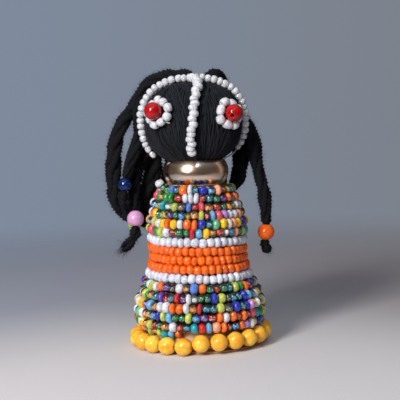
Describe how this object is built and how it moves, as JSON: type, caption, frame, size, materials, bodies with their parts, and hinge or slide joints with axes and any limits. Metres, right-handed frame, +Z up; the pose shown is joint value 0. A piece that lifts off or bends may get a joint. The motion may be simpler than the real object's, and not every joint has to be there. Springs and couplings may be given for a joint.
{
  "type": "beaded doll",
  "caption": "Small standing doll: a cone wound with strands of glass beads, a metal band neck, and a wool-wound ball head with a beaded face and hanging wool locks.",
  "frame": {"origin": "on the ground under the middle of the body, on the flat underside of the foot disc", "axes": "+Z up through the head; -Y is the way the face looks; +X is at the right of someone who looks at the face"},
  "size_m": [0.0586, 0.0492, 0.096],
  "materials": {
    "core_card": "matt, pale brown",
    "foot_board": "matt, tan",
    "mixed_beads": "glossy glass in many colours, some opaque and some clear",
    "white_beads": "glossy opaque white",
    "orange_beads": "glossy opaque orange",
    "yellow_round_beads": "satin yellow",
    "red_round_beads": "glossy red",
    "blue_round_beads": "glossy deep blue",
    "lilac_round_bead": "glossy lilac pink",
    "lime_round_bead": "glossy lime green",
    "orange_round_bead": "glossy orange",
    "neck_band": "polished, pale gold",
    "black_wool": "matt, hairy black wool"
  },
  "bodies": {
    "root": {"body_core": "core_card", "foot_disc": "foot_board", "upper_mixed_strand": "mixed_beads", "upper_white_strand": "white_beads", "orange_strand": "orange_beads", "lower_white_strand": "white_beads", "lower_mixed_strand": "mixed_beads", "foot_beads": "yellow_round_beads", "neck_ring": "neck_band", "head": "black_wool", "hairline_beads": "white_beads", "nose_beads": "white_beads", "left_eye_flower": "white_beads", "right_eye_flower": "white_beads", "left_eye_bead": "red_round_beads", "right_eye_bead": "red_round_beads", "left_outer_lock": "black_wool", "left_middle_lock": "black_wool", "left_inner_lock": "black_wool", "left_back_lock": "black_wool", "back_left_lock": "black_wool", "back_middle_lock": "black_wool", "back_right_lock": "black_wool", "right_inner_lock": "black_wool", "right_outer_lock": "black_wool", "left_outer_lock_bead": "lime_round_bead", "left_middle_lock_bead": "blue_round_beads", "left_inner_lock_bead": "lilac_round_bead", "back_left_lock_bead": "yellow_round_beads", "back_middle_lock_bead": "red_round_beads", "back_right_lock_bead": "blue_round_beads", "right_outer_lock_bead": "orange_round_bead"}
  },
  "joints": []
}
